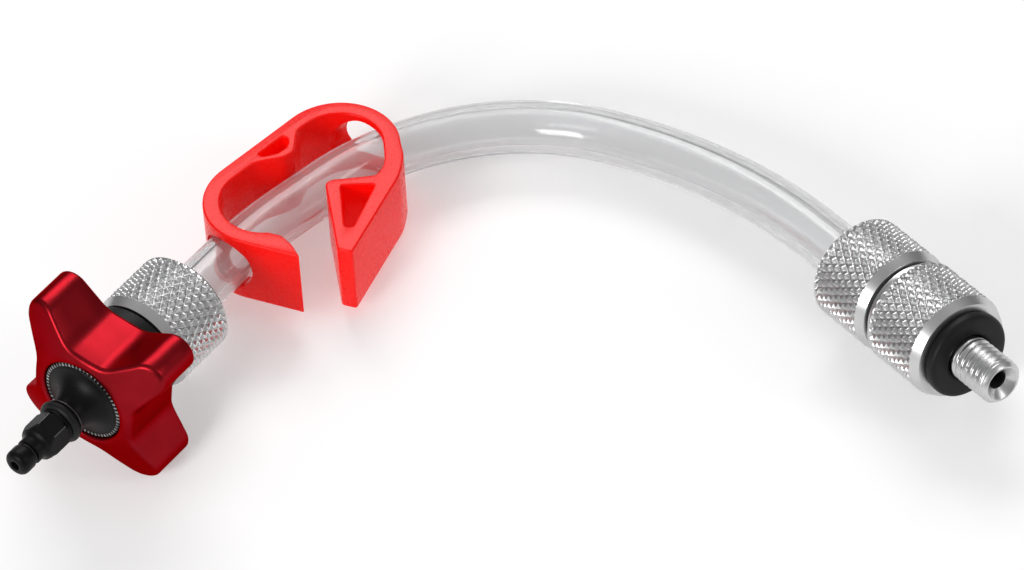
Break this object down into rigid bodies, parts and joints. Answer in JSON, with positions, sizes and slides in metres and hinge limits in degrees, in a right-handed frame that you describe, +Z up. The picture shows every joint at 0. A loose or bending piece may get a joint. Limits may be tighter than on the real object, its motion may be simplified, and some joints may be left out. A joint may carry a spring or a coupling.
{
  "type": "bleed hose with pinch clamp",
  "caption": "Clear bleed hose for suspension and brake service, with a hexagon-drive port stem and star knob, a male screw fitting and an open red pinch clamp.",
  "frame": {"origin": "under the middle of the assembly's bounding box, on the surface it rests on", "axes": "+Z up; +X from the knob end to the screw end; +Y towards the arch of the hose"},
  "size_m": [0.106, 0.0606, 0.0215],
  "materials": {
    "clear_tube": "gloss",
    "knurled_alu": "satin",
    "red_anodised": "satin",
    "black_metal": "satin",
    "black_rubber": "matte",
    "red_plastic": "gloss",
    "brass": "satin",
    "spring_steel": "satin"
  },
  "bodies": {
    "hose_line": {"clear_hose": "clear_tube", "swivel_body": "knurled_alu", "knob_washer": "black_rubber", "clamp_strap": "red_plastic", "screw_fitting": "knurled_alu", "face_seal": "black_rubber"},
    "knob": {"star_knob": "red_anodised", "port_stem": "black_metal", "nose_seal": "black_rubber", "port_seal": "black_rubber", "spigot_seal_front": "black_rubber", "spigot_seal_rear": "black_rubber", "snap_ring": "spring_steel"},
    "left_ring": {"left_collet": "brass"},
    "left_nut": {"left_nut": "knurled_alu"},
    "right_ring": {"right_collet": "brass"},
    "right_nut": {"right_nut": "knurled_alu"},
    "jaw": {"clamp_jaw": "red_plastic"}
  },
  "joints": [
    {"name": "knob_spin", "type": "hinge", "parent": "hose_line", "child": "knob", "pos_m": [-0.04177, -0.00416, 0.01079], "axis": [-0.6562, -0.7414, 0.1402], "continuous": true},
    {"name": "left_nut_travel", "type": "slide", "parent": "hose_line", "child": "left_ring", "axis": [0.6562, 0.7414, -0.1402], "range_m": [0, 0.004]},
    {"name": "left_nut_turn", "type": "hinge", "parent": "left_ring", "child": "left_nut", "pos_m": [-0.03521, 0.00326, 0.00939], "axis": [0.6562, 0.7414, -0.1402], "range_deg": [0, 1441]},
    {"name": "right_nut_travel", "type": "slide", "parent": "hose_line", "child": "right_ring", "axis": [-0.4713, 0.8778, -0.0853], "range_m": [0, 0.004]},
    {"name": "right_nut_turn", "type": "hinge", "parent": "right_ring", "child": "right_nut", "pos_m": [0.04097, -0.01057, 0.00629], "axis": [-0.4713, 0.8778, -0.0853], "range_deg": [0, 1441]},
    {"name": "clamp_close", "type": "hinge", "parent": "hose_line", "child": "jaw", "pos_m": [-0.00878, 0.02515, 0.0045], "axis": [-0.1425, -0.037, -0.9891], "range_deg": [0, 25], "stiffness_Nm_per_rad": 0.02, "deforming": ["clear_hose"]}
  ],
  "couplings": [
    {"joint": "left_nut_turn", "follows": "left_nut_travel", "rad_per_m": 6283.2},
    {"joint": "right_nut_turn", "follows": "right_nut_travel", "rad_per_m": 6283.2}
  ]
}
